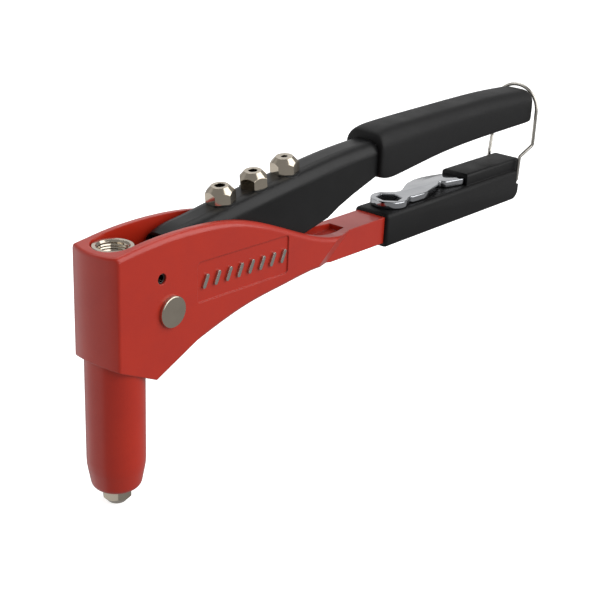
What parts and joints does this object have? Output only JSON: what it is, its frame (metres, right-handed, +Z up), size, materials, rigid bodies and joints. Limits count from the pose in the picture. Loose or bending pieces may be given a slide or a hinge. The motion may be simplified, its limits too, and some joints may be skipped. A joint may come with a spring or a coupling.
{
  "type": "hand riveter",
  "caption": "Hand blind riveter: red cast body with a barrel, black lever with rubber grip, pulling jaws, spare nosepieces, stowed spanner and a wire bail.",
  "frame": {"origin": "centre of the fitted nosepiece's tip face", "axes": "+Z up the barrel's axis, away from the nosepiece's tip; +X towards the ends of the handles; Y across the tool"},
  "size_m": [0.2752, 0.0263, 0.1162],
  "materials": {
    "red_paint": "gloss enamel on a casting",
    "black_paint": "satin black coating",
    "grip_rubber": "fine matt moulded",
    "nickel_plate": "nickel plated, turned",
    "chrome_plate": "stamped and chromed",
    "bright_metal": "bright",
    "dark_steel": "oiled dark steel",
    "bronze": "plain bearing bronze"
  },
  "bodies": {
    "body": {"body_frame": "red_paint", "relief_bars": "bright_metal", "pivot_pin": "nickel_plate", "pivot_clip": "dark_steel", "stop_pin": "dark_steel", "return_spring": "dark_steel", "lower_grip": "grip_rubber"},
    "lever": {"lever": "black_paint", "lever_bush": "bronze", "upper_grip": "grip_rubber"},
    "jaw_carrier": {"pull_sleeve": "nickel_plate", "spring_plug": "dark_steel", "locknut": "nickel_plate", "jaw_case": "nickel_plate", "jaw_spring": "dark_steel"},
    "jaws": {"jaw_1": "dark_steel", "jaw_2": "dark_steel", "jaw_3": "dark_steel", "jaw_pusher": "dark_steel"},
    "bail": {"bail_wire": "bright_metal"},
    "spanner": {"spanner": "chrome_plate"},
    "nosepiece": {"nosepiece_fitted": "nickel_plate"},
    "spare_front": {"spare_nosepiece_front": "nickel_plate"},
    "spare_middle": {"spare_nosepiece_middle": "nickel_plate"},
    "spare_rear": {"spare_nosepiece_rear": "nickel_plate"}
  },
  "joints": [
    {"name": "lever_hinge", "type": "hinge", "parent": "body", "child": "lever", "pos_m": [0.0164, 0, 0.0735], "axis": [0, -1, 0], "range_deg": [0, 40]},
    {"name": "carrier_slide", "type": "slide", "parent": "body", "child": "jaw_carrier", "axis": [0, 0, -1], "range_m": [0, 0.0121]},
    {"name": "jaw_slide", "type": "slide", "parent": "jaw_carrier", "child": "jaws", "axis": [0, 0, 1], "range_m": [0, 0.0025], "stiffness_N_per_m": 800, "springref_m": -0.004, "deforming": ["jaw_spring"]},
    {"name": "bail_hinge", "type": "hinge", "parent": "body", "child": "bail", "pos_m": [0.2566, 0, 0.07], "axis": [0, 1, 0], "range_deg": [0, 100]},
    {"name": "spanner_slide", "type": "slide", "parent": "body", "child": "spanner", "axis": [-0.9998, 0, 0.018], "range_m": [0, 0.03]},
    {"name": "nosepiece_unscrew", "type": "slide", "parent": "body", "child": "nosepiece", "axis": [0, 0, -1], "range_m": [0, 0.01]},
    {"name": "spare_front_unscrew", "type": "slide", "parent": "lever", "child": "spare_front", "axis": [-0.1103, 0, 0.9939], "range_m": [0, 0.01]},
    {"name": "spare_middle_unscrew", "type": "slide", "parent": "lever", "child": "spare_middle", "axis": [-0.1103, 0, 0.9939], "range_m": [0, 0.01]},
    {"name": "spare_rear_unscrew", "type": "slide", "parent": "lever", "child": "spare_rear", "axis": [-0.1103, 0, 0.9939], "range_m": [0, 0.01]}
  ],
  "couplings": [
    {"joint": "carrier_slide", "follows": "lever_hinge", "m_per_rad": 0.01727}
  ]
}
